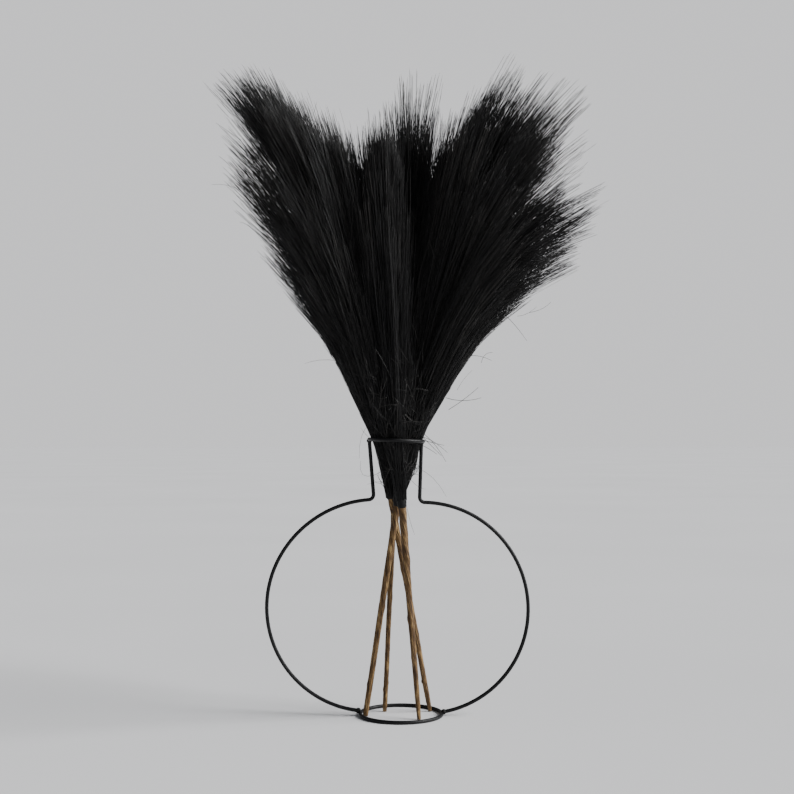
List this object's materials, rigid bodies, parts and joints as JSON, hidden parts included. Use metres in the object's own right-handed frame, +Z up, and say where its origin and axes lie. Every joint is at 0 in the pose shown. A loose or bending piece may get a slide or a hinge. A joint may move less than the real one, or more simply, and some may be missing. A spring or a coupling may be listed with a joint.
{
  "type": "wire outline vase with pampas stems",
  "caption": "Flat wire outline of a round vase on a ring foot, with a ring neck that holds long feathery faux pampas stems that lift out.",
  "frame": {"origin": "centre of the base ring, on the table", "axes": "+X to the right along the flat outline, +Y to the rear, +Z up"},
  "size_m": [0.2567, 0.072, 0.4363],
  "materials": {
    "black_wire": "satin",
    "weld": "matte",
    "core_wire": "satin",
    "stalk_paper": "matte",
    "binding_tape": "satin",
    "plume_fibre": "satin"
  },
  "bodies": {
    "vase": {"base_ring": "black_wire", "neck_ring": "black_wire", "left_side_wire": "black_wire", "right_side_wire": "black_wire", "base_weld_beads": "weld", "neck_weld_beads": "weld"},
    "right_stem": {"right_core_wire": "core_wire", "right_stalk": "stalk_paper", "right_binding": "binding_tape", "right_plume": "plume_fibre"},
    "centre_stem": {"centre_core_wire": "core_wire", "centre_stalk": "stalk_paper", "centre_binding": "binding_tape", "centre_plume": "plume_fibre"},
    "front_stem": {"front_core_wire": "core_wire", "front_stalk": "stalk_paper", "front_binding": "binding_tape", "front_plume": "plume_fibre"},
    "left_stem": {"left_core_wire": "core_wire", "left_stalk": "stalk_paper", "left_binding": "binding_tape", "left_plume": "plume_fibre"}
  },
  "joints": [
    {"name": "right_lift", "type": "slide", "parent": "vase", "child": "right_stem", "axis": [0.1495, -0.003, 0.9888], "range_m": [0, 0.2]},
    {"name": "centre_lift", "type": "slide", "parent": "vase", "child": "centre_stem", "axis": [0.0449, -0.0173, 0.9988], "range_m": [0, 0.2]},
    {"name": "front_lift", "type": "slide", "parent": "vase", "child": "front_stem", "axis": [-0.0797, 0.0209, 0.9966], "range_m": [0, 0.2]},
    {"name": "left_lift", "type": "slide", "parent": "vase", "child": "left_stem", "axis": [-0.1796, -0.0638, 0.9817], "range_m": [0, 0.2]}
  ]
}
